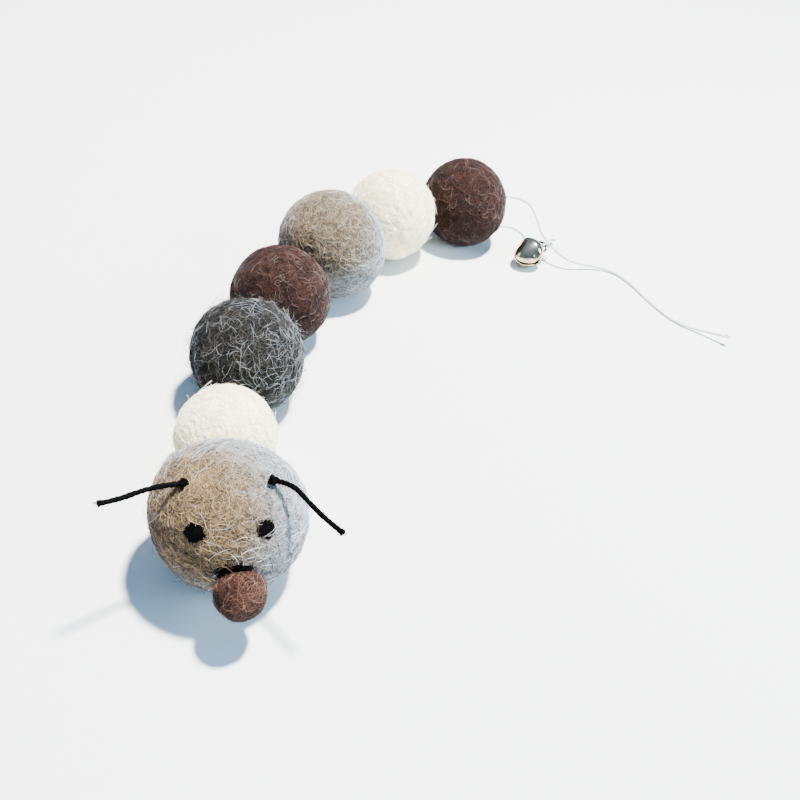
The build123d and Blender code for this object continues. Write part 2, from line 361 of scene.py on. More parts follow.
cloud = noise(felt_group, felt_place, cloud_scale, detail=5.0, roughness=0.65)
cloud_share = stretch(felt_group, cloud, 0.36, 0.62)
matted = mix_colours(felt_group, cloud_share, felt_in["Shade"], felt_in["Wool"])
light_share = math_node(felt_group, "MULTIPLY", strands, felt_in["Strand Share"])
felt_colour = mix_colours(felt_group, light_share, matted, felt_in["Light"])
link_nodes(felt_group, felt_colour, felt_out["Color"])
felt_height = math_node(felt_group, "ADD", strands, math_node(felt_group, "MULTIPLY", cloud, 0.6))
link_nodes(felt_group, felt_height, felt_out["Height"])
link_nodes(felt_group, stretch(felt_group, cloud, 0.3, 0.7, 0.98, 0.86), felt_out["Roughness"])
print("felt group nodes:", len(felt_group.nodes))

# %% [markdown]
# ## The wools
# The head is warm tan in front and fades into grey round its sides and back, and so does the
# oatmeal ball; that grey is painted rim light. The others are ivory, charcoal mixed with pale
# grey, and a red brown, the nose has its own brown, and the eyes are black. Each wool has three
# tones for its mat and four for its loose fibres, because a handful of wool is never one colour.
# The fibre tones lean paler on top and darker underneath, which is painted light and shade.
# Fine hair catches light at the edge of a ball, and the shader's sheen is made for just that.

# %% Wool materials
def colour(r, g, b):
    return (r, g, b, 1.0)


wools = {
    "tan": {
        "shade": (0.017, 0.0105, 0.0048), "wool": (0.086, 0.0520, 0.0225),
        "light": (0.310, 0.212, 0.108), "sheen": 0.30, "gloss": 0.2,
        "fibres": (
            (0.370, 0.254, 0.132), (0.116, 0.0700, 0.0300),
            (0.024, 0.0148, 0.0068), (0.42, 0.43, 0.43),
        ),
        "patch": (0.34, 0.20, 0.77),
    },
    "grey": {
        "shade": (0.044, 0.044, 0.045), "wool": (0.143, 0.149, 0.156),
        "light": (0.39, 0.405, 0.42), "sheen": 0.30, "gloss": 0.10,
        "fibres": (
            (0.475, 0.49, 0.505), (0.225, 0.235, 0.247),
            (0.062, 0.063, 0.065), (0.58, 0.605, 0.63),
        ),
    },
    "ivory": {
        "shade": (0.80, 0.67, 0.36), "wool": (0.96, 0.88, 0.56),
        "light": (0.98, 0.96, 0.80), "sheen": 0.4, "gloss": 0.2,
        "fibres": (
            (0.98, 0.96, 0.80), (0.96, 0.87, 0.55),
            (0.84, 0.71, 0.42), (0.98, 0.98, 0.94),
        ),
    },
    "charcoal": {
        "shade": (0.0007, 0.0007, 0.0008), "wool": (0.0028, 0.0025, 0.0022),
        "light": (0.030, 0.027, 0.024), "sheen": 0.08, "gloss": 0.12,
        "fibres": (
            (0.092, 0.085, 0.075), (0.0085, 0.0075, 0.0063),
            (0.0012, 0.0011, 0.0011), (0.290, 0.310, 0.340),
        ),
    },
    "brown": {
        "shade": (0.0026, 0.0009, 0.0007), "wool": (0.0098, 0.0033, 0.0023),
        "light": (0.050, 0.0200, 0.0140), "sheen": 0.12, "gloss": 0.12,
        "fibres": (
            (0.088, 0.0375, 0.0265), (0.0175, 0.0060, 0.0041),
            (0.0034, 0.0013, 0.0009), (0.205, 0.145, 0.130),
        ),
    },
    "oatmeal": {
        "shade": (0.018, 0.0126, 0.0070), "wool": (0.076, 0.0530, 0.0300),
        "light": (0.270, 0.205, 0.130), "sheen": 0.34, "gloss": 0.2,
        "fibres": (
            (0.320, 0.242, 0.155), (0.100, 0.0700, 0.0400),
            (0.026, 0.0182, 0.0105), (0.46, 0.48, 0.50),
        ),
        "patch": (0.48, 0.22, 0.82),
    },
    "nose": {
        "shade": (0.0028, 0.0008, 0.0005), "wool": (0.0118, 0.0032, 0.0018),
        "light": (0.080, 0.0310, 0.0190), "sheen": 0.10, "gloss": 0.12,
        "fibres": (
            (0.145, 0.0630, 0.0390), (0.0310, 0.0096, 0.0058),
            (0.0042, 0.0014, 0.0009), (0.230, 0.155, 0.122),
        ),
    },
    "black": {
        "shade": (0.0004, 0.0004, 0.0004), "wool": (0.0008, 0.0008, 0.0009),
        "light": (0.0030, 0.0030, 0.0034), "sheen": 0.0, "gloss": 0.03,
        "fibres": (
            (0.0016, 0.0016, 0.0018), (0.0010, 0.0010, 0.0010),
            (0.0006, 0.0006, 0.0006), (0.0080, 0.0080, 0.0090),
        ),
    },
}
sheen_tint = colour(0.68, 0.84, 1.0)
# where a patch of one wool fades into the grey at its sides, a painted rim light, in shares of the
# ball's box
painted_rim_edge = (0.30, 0.63)


def felt_node(tree, tones, strand_scale, strand_share):
    """The felt group, set to the tones of one wool."""
    values = {name.title(): colour(*tones[name]) for name in ("shade", "wool", "light")}
    values.update({"Strand Scale": strand_scale, "Strand Share": strand_share})
    return group_node(tree, felt_group, values)


def felt_material(name, wool, strand_scale=900.0, strand_share=0.5):
    """Felt of one wool, or a patch of it fading into grey, which is painted rim light."""
    material, tree, shader = shader_of(name)
    tones = wools[wool]
    mat = felt_node(tree, tones, strand_scale, strand_share)
    shown = mat.outputs["Color"]
    # the grey mixed in round the patch is painted rim light
    if "patch" in tones:
        place = add_node(tree, "ShaderNodeTexCoord").outputs["Generated"]
        away = add_node(
            tree, "ShaderNodeVectorMath", {0: place, 1: tones["patch"]}, operation="DISTANCE"
        )
        outside = add_node(
            tree,
            "ShaderNodeMapRange",
            {0: away.outputs["Value"], 1: painted_rim_edge[0], 2: painted_rim_edge[1]},
            interpolation_type="SMOOTHSTEP",
        )
        around = felt_node(tree, wools["grey"], strand_scale, strand_share)
        shown = mix_colours(tree, outside.outputs[0], shown, around.outputs["Color"])
    link_nodes(tree, shown, shader.inputs["Base Color"])
    link_nodes(tree, mat.outputs["Roughness"], shader.inputs["Roughness"])
    add_bump(tree, shader, mat.outputs["Height"], 0.7, 0.12 * mm)
    shader.inputs["Specular IOR Level"].default_value = tones["gloss"]
    shader.inputs["Sheen Weight"].default_value = tones["sheen"]
    shader.inputs["Sheen Roughness"].default_value = 0.28
    shader.inputs["Sheen Tint"].default_value = sheen_tint
    return material


def fibre_materials(wool):
    """The four tones of a wool's loose fibres."""
    made = []
    for number, tone in enumerate(wools[wool]["fibres"], start=1):
        material, _, shader = shader_of(f"{wool} fibre {number}")
        shader.inputs["Base Color"].default_value = colour(*tone)
        shader.inputs["Roughness"].default_value = 0.6
        shader.inputs["Specular IOR Level"].default_value = wools[wool]["gloss"]
        shader.inputs["Sheen Weight"].default_value = 0.35 * wools[wool]["sheen"]
        shader.inputs["Sheen Tint"].default_value = sheen_tint
        made.append(material)
    return made


ball_wools = ("tan", "ivory", "charcoal", "brown", "oatmeal")
felts = {wool: felt_material(f"{wool} felt", wool) for wool in (*ball_wools, "black")}
felts["nose"] = felt_material("nose wool felt", "nose", strand_scale=1300.0, strand_share=0.7)
fibres = {wool: fibre_materials(wool) for wool in wools}
print("wools:", ", ".join(wools))

# %% [markdown]
# ## The shape of a felt ball
# A ball rolled by hand is never quite round. It has slow lumps, a finer grain where the wool
# matted, a flat place where it rests, and a pit at each end of its bore where the cord draws
# its neighbours against it. Sums of sine waves over the direction from the centre give the
# lumps and the grain, and the same function tells the loose fibres how high the surface is.

# %% Ball shape
class BallShape:
    """How far a ball's surface is from its centre, in every direction.

    bulges are a direction, a height in mm and a sharpness each, and pits are a direction, a
    depth in mm and a spread in degrees.
    """

    ground_gap = 0.02 * mm

    def __init__(self, centre, radius, seed, proud=0.1, lumps=0.16, grain=0.05, bulges=(), pits=()):
        rng = np.random.default_rng(seed)
        self.centre = np.array(centre)
        self.radius = radius
        self.proud = proud * mm
        self.bulges = bulges
        self.pits = pits
        self.waves = []
        for count, low, high, height in (
            (10, 2.0, 4.5, lumps),
            (14, 7.0, 14.0, lumps * 0.35),
            (26, 24.0, 60.0, grain),
        ):
            ways = unit_rows(rng.normal(size=(count, 3))) * rng.uniform(low, high, size=(count, 1))
            starts = rng.uniform(0, 2 * math.pi, size=count)
            self.waves.append((ways, starts, height * mm * math.sqrt(2 / count)))

    def distance(self, ways):
        out = np.full(ways.shape[:-1], self.radius + self.proud)
        for wave_ways, starts, height in self.waves:
            out += height * np.sin(ways @ wave_ways.T + starts).sum(axis=-1)
        for way, height, power in self.bulges:
            out += height * mm * np.maximum(ways @ unit_rows(np.array(way)), 0) ** power
        for way, depth, spread in self.pits:
            angle = np.degrees(np.arccos(np.clip(ways @ unit_rows(np.array(way)), -1, 1)))
            out -= depth * mm * np.exp(-((angle / spread) ** 2))
        return out

    def place(self, ways, height=0.0):
        places = self.centre + ways * (self.distance(ways) + height)[..., None]
        places[..., 2] = np.maximum(places[..., 2], self.ground_gap)
        return places


def sphere_ways(subdivisions):
    """Directions and faces of an even sphere of triangles."""
    ball = bmesh.new()
    bmesh.ops.create_icosphere(ball, subdivisions=subdivisions, radius=1.0)
    ways = unit_rows(np.array([vertex.co[:] for vertex in ball.verts]))
    faces = [[vertex.index for vertex in face.verts] for face in ball.faces]
    ball.free()
    return ways, faces


fine_ways, fine_faces = sphere_ways(7)
print("sphere faces:", len(fine_faces))

# %% [markdown]
# ## Loose fibres
# A fibre is a thin three-sided tube that wanders over the ball. It steps across the surface
# while its heading turns, mostly one way, which makes the curl, and it dips back into the mat
# at both ends. Some stray ones stand off and give the ball its fuzzy edge. All the fibres of
# a ball are one mesh, and each takes one of the wool's four tones.

# %% Fibre helpers
root_depth = 0.04 * mm


def wander(rng, shape, starts, steps, lengths, curl, lift, strays=0.05, stray_lift=1.2):
    """Paths over a ball: places, and the outward direction at each."""
    count = len(starts)
    ways = unit_rows(starts)
    headings = unit_rows(np.cross(ways, rng.normal(size=(count, 3))))
    stride = (lengths / (steps - 1) / shape.radius)[:, None]
    turn = rng.normal(0, curl, size=(count, 1))
    wobble = rng.normal(0, curl * 0.55, size=(count, 1))
    phase = rng.uniform(0, 2 * math.pi, size=(count, 1))
    path = []
    for step in range(steps):
        path.append(ways)
        bend = (turn + wobble * np.sin(phase + 1.3 * step)) * (lengths / (steps - 1))[:, None]
        sides = np.cross(ways, headings)
        headings = unit_rows(headings * np.cos(bend) + sides * np.sin(bend))
        moved = unit_rows(ways * np.cos(stride) + headings * np.sin(stride))
        headings = unit_rows(headings * np.cos(stride) - ways * np.sin(stride))
        ways = moved
    path = np.stack(path, axis=1)
    share = np.linspace(0, 1, steps)
    heights = rng.uniform(0.3, 1.0, size=(count, 1)) * lift * mm
    rise = heights * np.sin(math.pi * share) - root_depth
    stray = rng.uniform(size=count) < strays
    reach = rng.uniform(0.25, 1.0, size=(count, 1)) * stray_lift * mm
    rise[stray] = (reach * share**1.6)[stray] - root_depth
    return shape.place(path, rise), path


def fibre_tubes(rng, places, outward, thick):
    """Vertices and faces of closed three-sided tubes on the paths, and each face's fibre."""
    count, steps = places.shape[:2]
    along = unit_rows(np.gradient(places, axis=1))
    sides = unit_rows(np.cross(along, outward))
    ups = np.cross(sides, along)
    taper = 0.35 + 0.65 * np.sin(math.pi * np.linspace(0.06, 0.94, steps)) ** 0.5
    half = (rng.uniform(0.75, 1.25, size=(count, 1)) * thick * mm / 2 * taper)[..., None]
    corners = [
        places + half * (math.cos(angle) * sides + math.sin(angle) * ups)
        for angle in (math.pi / 2, math.pi * 7 / 6, math.pi * 11 / 6)
    ]
    vertices = np.stack(corners, axis=2).reshape(-1, 3)
    pattern = ring_faces(steps, 3)
    end = (steps - 1) * 3
    quads = np.array(pattern)[None] + (np.arange(count) * steps * 3)[:, None, None]
    caps = np.array([(2, 1, 0), (end, end + 1, end + 2)])[None]
    caps = caps + (np.arange(count) * steps * 3)[:, None, None]
    faces = quads.reshape(-1, 4).tolist() + caps.reshape(-1, 3).tolist()
    owner = np.concatenate([np.repeat(np.arange(count), times) for times in (len(pattern), 2)])
    return vertices, faces, owner


no_lean = ((0, 0, 0),) * 4


def lay_fibres(
    name, rng, shape, starts, body, wool, slot, shares, length, thick,
    lean=no_lean, steps=9, **curls,
):
    """A mesh of loose fibres over a ball, in the four tones of a wool.

    shares is how much of each tone there is, and lean is the way round the ball in which
    there is more of it: paler tones towards the top and the right and darker ones underneath,
    which is painted light and shade. Where the wool is a patch, the fibres round it are grey,
    which is painted rim light.
    """
    lengths = rng.uniform(0.6, 1.3, size=len(starts)) * length * mm
    places, outward = wander(rng, shape, starts, steps, lengths, **curls)
    vertices, faces, owner = fibre_tubes(rng, places, outward, thick)
    # the lean makes some tones likelier on one side of the ball: painted light and shade
    odds = np.array(shares) * np.exp(unit_rows(starts) @ np.array(lean, dtype=float).T)
    odds = np.cumsum(odds / odds.sum(axis=1, keepdims=True), axis=1)
    tones = np.minimum((odds < rng.uniform(size=(len(starts), 1))).sum(axis=1), len(shares) - 1)
    materials = list(fibres[wool])
    # the grey fibres round the patch are painted rim light
    if "patch" in wools[wool]:
        box_places = (1 + unit_rows(starts)) / 2
        away = np.linalg.norm(box_places - np.array(wools[wool]["patch"]), axis=1)
        outside = np.clip((away - painted_rim_edge[0]) / (painted_rim_edge[1] - painted_rim_edge[0]), 0, 1)
        outside = outside**2 * (3 - 2 * outside)
        tones = tones + len(shares) * (rng.uniform(size=len(starts)) < outside)
        materials += fibres["grey"]
    new_piece(name, vertices, faces, body, materials, tones[owner], slot)
    print(name, "fibres:", len(starts), "faces:", len(faces))


# %% [markdown]
# ## The balls
# Each ball is one sculpted mesh in its wool's felt, and one mesh of loose fibres on top. The
# charcoal one is the hairiest, and the ivory ones are the smoothest. A ball is firm wool right
# through.

# %% Balls
bore_pit, tail_pit = (0.42, 17.0), (0.35, 9.0)
# paler fibre tones towards the top and the right, darker ones underneath: painted light and shade
pale_wool_painted_shading = ((-0.1, 0.7, 0.7), (0, 0, 0), (-0.5, -0.7, -1.4), (2.4, 0.6, 0))
dark_wool_painted_shading = ((0.3, 0, 0.3), (0, 0, 0), (-0.7, 0, -0.5), (1.2, 0, 0.1))
ball_looks = {
    "head_ball": {
        "wool": "tan", "slot": "felt_tan", "seed": 11, "proud": 0.15, "fibres": 4400,
        "shares": (3.6, 4, 2.8, 0.75), "lean": pale_wool_painted_shading, "length": 5.0, "thick": 0.072,
        "curl": 400, "strays": 0.08, "stray_lift": 1.6,
        "bulges": [
            ((-0.95, 0, 0.2), 0.55, 2), ((-0.3, -0.8, -0.5), -0.6, 2), ((0.84, -0.3, -0.2), 0.35, 3)
        ],
    },
    "white_ball_front": {
        "wool": "ivory", "slot": "felt_ivory", "seed": 12, "proud": 0.1, "fibres": 1500,
        "shares": (4, 3, 1, 3), "lean": no_lean, "length": 4.5, "thick": 0.085,
        "curl": 380, "strays": 0.08, "stray_lift": 1.5, "bulges": [],
    },
    "charcoal_ball": {
        "wool": "charcoal", "slot": "felt_charcoal", "seed": 13, "proud": 0.15, "fibres": 4400,
        "shares": (2.9, 3.0, 3.4, 1.35), "lean": dark_wool_painted_shading, "length": 4.4, "thick": 0.066,
        "curl": 560, "strays": 0.22, "stray_lift": 2.4,
        "bulges": [((-0.6, 0.3, 0.6), 0.3, 2), ((0.8, -0.34, -0.3), 0.5, 4)],
    },
    "brown_ball_front": {
        "wool": "brown", "slot": "felt_brown", "seed": 14, "proud": 0.3, "fibres": 3600,
        "shares": (2.4, 3, 2.8, 0.55), "lean": dark_wool_painted_shading, "length": 4.0, "thick": 0.070,
        "curl": 620, "strays": 0.06, "stray_lift": 1.3,
        "bulges": [((-0.2, 0.4, 0.9), 0.4, 1), ((0.9, -0.2, -0.2), 0.3, 3)],
    },
    "beige_ball": {
        "wool": "oatmeal", "slot": "felt_oatmeal", "seed": 15, "proud": 0.35, "fibres": 4200,
        "shares": (3.6, 3.4, 2.8, 1.1), "lean": pale_wool_painted_shading, "length": 4.4, "thick": 0.074,
        "curl": 500, "strays": 0.06, "stray_lift": 1.4,
        "bulges": [((-0.5, 0.3, 0.8), 0.65, 1), ((0.65, -0.4, -0.5), 0.7, 3)],
    },
    "white_ball_rear": {
        "wool": "ivory", "slot": "felt_ivory", "seed": 16, "proud": 0.2, "fibres": 1700,
        "shares": (4, 3, 1, 3), "lean": no_lean, "length": 4.5, "thick": 0.085,
        "curl": 380, "strays": 0.06, "stray_lift": 1.3, "bulges": [],
    },
    "brown_ball_rear": {
        "wool": "brown", "slot": "felt_brown", "seed": 17, "proud": 0.2, "fibres": 3800,
        "shares": (2, 3.0, 3.2, 0.5), "lean": dark_wool_painted_shading, "length": 4.0, "thick": 0.070,
        "curl": 620, "strays": 0.07, "stray_lift": 1.4,
        "bulges": [((0.7, 0.2, 0.6), -0.5, 2), ((0.05, -0.6, -0.6), 0.5, 2)],
    },
}
shapes = {}
for index, name in enumerate(ball_names):
    look = ball_looks[name]
    pits = []
    if index > 0:
        pits.append((tuple(centres[index - 1] - centres[index]), *bore_pit))
    if index < len(ball_names) - 1:
        pits.append((tuple(centres[index + 1] - centres[index]), *bore_pit))
    else:
        pits.append((tuple(tail_points[0] - last), *tail_pit))
    shape = BallShape(
        centres[index], radii[index], look["seed"],
        proud=look["proud"], bulges=look["bulges"], pits=pits,
    )
    shapes[name] = shape
    body = "head" if name == "head_ball" else name
    felt = new_piece(
        name.replace("ball", "felt"), shape.place(fine_ways), fine_faces, body,
        [felts[look["wool"]]], slot=look["slot"],
    )
    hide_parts(name)

# %% Loose fibres of the balls
bore_clear = 21  # degrees round the cord that have no fibres
eye_left_at, eye_right_at, nose_tuft_at = (-32.5, 34.0), (29.5, 34.0), (0.5, 6.2)
bare_spots = ((*eye_left_at, 9.5), (*eye_right_at, 9.5), (0.5, 7.5, 11.0))
for name, look in ball_looks.items():
    rng = np.random.default_rng(look["seed"] + 100)
    starts = unit_rows(rng.normal(size=(look["fibres"], 3)))
    for way, _, _ in shapes[name].pits:
        starts = starts[starts @ unit_rows(np.array(way)) < math.cos(math.radians(bore_clear))]
    if name == "head_ball":
        for azimuth, elevation, clear in bare_spots:
            way = np.array(head_way(azimuth, elevation))
            starts = starts[starts @ way < math.cos(math.radians(clear))]
    lay_fibres(
        name.replace("ball", "nap"), rng, shapes[name], starts,
        "head" if name == "head_ball" else name, look["wool"], look["slot"],
        look["shares"], look["length"], look["thick"], lean=look["lean"],
        curl=look["curl"], lift=0.26, strays=look["strays"], stray_lift=look["stray_lift"], steps=8,
    )

# %% [markdown]
# ## Nose
# The nose is a small ball of its own, felted hard and then stabbed onto the head with a
# needle, so it sinks into the face. Its fibres are long for its size and go round it.

# %% Nose
nose_r, nose_sink = 4.7 * mm, 2.7 * mm
nose_centre = head + head_way(4.0, -7.5) * (head_r + nose_r - nose_sink)
nose_shape = BallShape(nose_centre, nose_r, 21, proud=0.15, lumps=0.08, grain=0.03)
nose_ways, nose_faces = sphere_ways(6)
nose = new_piece(
    "nose_felt", nose_shape.place(nose_ways), nose_faces, "head", [felts["nose"]], slot="felt_nose"
)
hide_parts("nose_ball")
rng = np.random.default_rng(121)
lay_fibres(
    "nose_nap", rng, nose_shape, unit_rows(rng.normal(size=(900, 3))), "head", "nose", "felt_nose",
    (2.4, 3.2, 3.0, 0.55), 5.0, 0.066, lean=dark_wool_painted_shading, curl=330, lift=0.18, strays=0.04,
    stray_lift=1.0, steps=11,
)

# %% [markdown]
# ## Eyes, and the dark wool over the nose
# These are tufts of black wool, stabbed into the head until they lie almost flush. A tuft has
# a ragged edge and a shallow dome, and hairs of it curl out over the tan wool. Each is a
# domed patch with an uneven rim, closed underneath inside the head, with its own fibres.

# %% Needled tufts
def needled_tuft(name, node, place, outline, dome, seed, count, length):
    """A patch of black wool on the head. outline gives its half width at each angle, in mm."""
    rng = np.random.default_rng(seed)
    way = head_way(*place)
    across = Vector((-way.y, way.x, 0)).normalized()
    upward = way.cross(across).normalized()
    shape = shapes["head_ball"]
    rings, sectors = 12, 72
    angles = np.linspace(0, 2 * math.pi, sectors, endpoint=False)
    ragged = sum(
        rng.uniform(0.010, 0.028) * np.sin(rng.integers(3, 15) * angles + rng.uniform(0, 6))
        for _ in range(7)
    )
    rim = outline(angles) * mm * (1 + ragged)
    ways, heights = [], []
    for ring in range(1, rings + 1):
        share = ring / rings
        flat = (
            np.outer(np.cos(angles) * rim * share, across)
            + np.outer(np.sin(angles) * rim * share, upward)
        )
        ways.append(unit_rows(np.array(way) + flat / head_r))
        bump = 0.05 * np.sin(5 * angles + 9 * share) * share
        heights.append(dome * mm * (math.sqrt(max(1 - share**2, 0)) + bump) - 0.06 * mm * share)
    ways, heights = np.stack(ways), np.stack(heights)
    patch = shape.place(ways, heights).reshape(-1, 3)
    top = shape.place(np.array(way)[None], np.array([dome * mm]))
    root = shape.place(np.array(way)[None], np.array([-1.0 * mm]))
    vertices = np.concatenate([patch, top, root])
    crown, foot = len(vertices) - 2, len(vertices) - 1
    faces = []
    for sector in range(sectors):
        after = (sector + 1) % sectors
        faces.append((crown, sector, after))
        for ring in range(rings - 1):
            a, b = ring * sectors + sector, ring * sectors + after
            faces.append((a, a + sectors, b + sectors, b))
        edge = (rings - 1) * sectors
        faces.append((edge + sector, foot, edge + after))
    tuft = new_piece(name, vertices, faces, "head", [felts["black"]], slot="wool_black")
    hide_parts(node)
    turns = rng.uniform(0, 2 * math.pi, size=count)
    out = np.sqrt(rng.uniform(0, 1, size=count)) * outline(turns) * mm * 0.78
    starts = np.array(way) + (
        np.outer(np.cos(turns) * out, across) + np.outer(np.sin(turns) * out, upward)
    ) / head_r
    lay_fibres(
        f"{name}_nap", rng, shape, unit_rows(starts), "head", "black", "wool_black",
        (3, 3, 2, 0.5), length, 0.08, curl=1500, lift=dome + 0.1, strays=0.02, stray_lift=0.6,
    )


def round_outline(radius, bumps=()):
    """Half width all round, with ragged points at given angles."""

    def outline(angles):
        out = np.full_like(angles, radius)
        for angle, height, spread in bumps:
            away = np.angle(np.exp(1j * (angles - math.radians(angle))), deg=True)
            out = out + height * np.exp(-((away / spread) ** 2))
        return out

    return outline


needled_tuft(
    "eye_left_tuft", "eye_left", eye_left_at,
    round_outline(1.85, ((8, 0.6, 9), (190, 0.15, 25), (265, 0.2, 20))), 0.34, 31, 260, 1.15,
)
needled_tuft(
    "eye_right_tuft", "eye_right", eye_right_at,
    round_outline(1.76, ((165, 0.35, 12), (275, 0.3, 16), (60, 0.15, 20))), 0.34, 32, 250, 1.15,
)


def crescent_outline(angles):
    """A flat crescent, wide from side to side."""
    return 3.9 / np.sqrt(np.cos(angles) ** 2 + (np.sin(angles) / 0.56) ** 2)


needled_tuft("nose_tuft_wool", "nose_tuft", nose_tuft_at, crescent_outline, 0.3, 33, 170, 2.6)

# %% [markdown]
# ## Cord
# Yarn and cord are plies twisted round one another. A tube whose outline has one lobe for
# each ply, turned steadily as it goes along, is a twisted cord, and its grooves are real.
# The frame along the line turns as little as it can, so the twist is all the cord's own.

# %% Cord helpers
cord_step = 0.12 * mm


def even_line(places, spacing):
    """The same line with points at even distances."""
    places = np.array([tuple(place) for place in places])
    gone = np.concatenate([[0], np.cumsum(np.linalg.norm(np.diff(places, axis=0), axis=1))])
    count = max(int(round(gone[-1] / spacing)), 2) + 1
    wanted = np.linspace(0, gone[-1], count)
    return np.stack([np.interp(wanted, gone, places[:, k]) for k in range(3)], axis=1)


def steady_frames(line):
    """Two directions across the line at each point, with no twist between points."""
    along = unit_rows(np.gradient(line, axis=0))
    first = np.cross(along[0], (0.31, 0.17, 0.93))
    across = [unit_rows(first)]
    for step in along[1:]:
        kept = across[-1] - step * (across[-1] @ step)
        across.append(unit_rows(kept))
    across = np.array(across)
    return along, across, np.cross(along, across)


def twisted_cord(
    line, diameter, plies, pitch, groove=0.3, sides=18, flare=None, wobble=0.02, seed=1
):
    """Vertices and faces of a closed twisted cord along a line."""
    rng = np.random.default_rng(seed)
    along, across, third = steady_frames(line)
    gone = np.concatenate([[0], np.cumsum(np.linalg.norm(np.diff(line, axis=0), axis=1))])
    angles = np.linspace(0, 2 * math.pi, sides, endpoint=False)
    phase = angles[None, :] - 2 * math.pi * gone[:, None] / pitch
    lobes = np.abs(np.cos(phase * plies / 2))
    uneven = 1 + wobble * np.sin(gone * 900 + rng.uniform(0, 6)) + wobble * np.sin(gone * 2300)
    reach = diameter / 2 * (1 - groove * (1 - lobes)) * uneven[:, None]
    if flare is not None:
        reach = reach * np.interp(gone[-1] - gone, *flare)[:, None]
    x, y = np.cos(angles)[None, :, None], np.sin(angles)[None, :, None]
    rings = line[:, None] + reach[..., None] * (x * across[:, None] + y * third[:, None])
    vertices = rings.reshape(-1, 3)
    faces = ring_faces(len(line), sides)
    faces.append(tuple(reversed(range(sides))))
    edge = (len(line) - 1) * sides
    faces.append(tuple(edge + side for side in range(sides)))
    return vertices, faces


def joined(parts):
    """Several meshes' vertices and faces as one."""
    vertices, faces, count = [], [], 0
    for part_vertices, part_faces in parts:
        vertices.append(part_vertices)
        faces += [tuple(index + count for index in face) for face in part_faces]
        count += len(part_vertices)
    return np.concatenate(vertices), faces


def knot_line(centre, axis, reach, depth):
    """The closed line of an overhand knot pulled tight, about an axis."""
    axis = Vector(axis).normalized()
    across = axis.cross(Vector((0.3, 0.2, 0.9))).normalized()
    third = axis.cross(across)
    places = []
    for step in range(97):
        turn = 2 * math.pi * step / 96
        x = (math.sin(turn) + 2 * math.sin(2 * turn)) / 3
        y = (math.cos(turn) - 2 * math.cos(2 * turn)) / 3
        z = -math.sin(3 * turn)
        flat = across * (x * reach) + third * (y * reach)
        places.append(Vector(centre) + flat + axis * (z * depth))
    return places


def cord_piece(name, node, body, material, slot, line, *values, **shape):
    """A twisted cord that stands for a CAD node."""
    piece = new_piece(name, *twisted_cord(line, *values, **shape), body, [material], slot=slot)
    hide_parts(node)
    return piece


# %% Cord materials
cord_group, cord_in, cord_out = new_group(
    "Spun thread",
    {
        "Dark": ("NodeSocketColor", (0.1, 0.1, 0.1, 1)),
        "Pale": ("NodeSocketColor", (0.8, 0.8, 0.8, 1)),
        "Hair Scale": ("NodeSocketFloat", 4000.0),
    },
    {"Color": "NodeSocketColor", "Height": "NodeSocketFloat"},
)
cord_place = add_node(cord_group, "ShaderNodeTexCoord").outputs["Object"]
hair = noise(
    cord_group, cord_place, cord_in["Hair Scale"], detail=4.0, roughness=0.6, distortion=1.2
)
hair_share = stretch(cord_group, hair, 0.35, 0.65)
cord_colour = mix_colours(cord_group, hair_share, cord_in["Dark"], cord_in["Pale"])
link_nodes(cord_group, cord_colour, cord_out["Color"])
link_nodes(cord_group, hair, cord_out["Height"])


def cord_material(name, dark, pale, hair_scale, roughness, sheen, gloss):
    material, tree, shader = shader_of(name)
    values = {"Dark": colour(*dark), "Pale": colour(*pale), "Hair Scale": hair_scale}
    thread = group_node(tree, cord_group, values)
    link_nodes(tree, thread.outputs["Color"], shader.inputs["Base Color"])
    add_bump(tree, shader, thread.outputs["Height"], 0.5, 0.03 * mm)
    shader.inputs["Roughness"].default_value = roughness
    shader.inputs["Sheen Weight"].default_value = sheen
    shader.inputs["Specular IOR Level"].default_value = gloss
    return material


white_cord = cord_material(
    "white cotton", (0.30, 0.31, 0.31), (0.80, 0.80, 0.79), 5200.0,
    roughness=0.8, sheen=0.3, gloss=0.3,
)
black_cord = cord_material(
    "waxed black cord", (0.0003, 0.0003, 0.0003), (0.0012, 0.0012, 0.0014), 4200.0,
    roughness=0.6, sheen=0.0, gloss=0.02,
)

# %% [markdown]
# ## Cord through the balls
# Inside the balls the cord is hidden, and those CAD pieces only need its material. Between
# two balls a short piece of it bends when the toy bends, so that piece is modelled, twist
# and all.

# %% Cord through the balls
def finish_node(node, material):
    """Gives a carried-over CAD node its real finish."""
    for piece in [o for o in bpy.data.objects if o.get("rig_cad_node") == node]:
        piece.data.materials.clear()
        piece.data.materials.append(material)


links = range(1, len(ball_names))
hidden_cord = ["string_core_head", "start_knot", "stop_knot"]
for node in hidden_cord + [f"string_core_{number}" for number in links]:
    finish_node(node, white_cord)
finish_node("whisker_thread", black_cord)
half_link = 2.0 * mm
for number in links:
    low, high = (Vector(corner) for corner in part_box(f"string_link_{number}"))
    run = (centres[number] - centres[number - 1]).normalized()
    middle, half = (low + high) / 2, run * half_link
    cord_piece(
        f"link_cord_{number}", f"string_link_{number}", f"link_{number}", white_cord, "cord_white",
        even_line([middle - half, middle, middle + half], cord_step), cord_d, 2, 2.2 * mm,
        seed=number,
    )

# %% [markdown]
# ## Whiskers
# The whiskers are one length of waxed black cord, drawn through the head and knotted outside
# each cheek, so that it can't slip. The wax holds its bends. The cut ends splay a little, and
# a few threads come out of them.

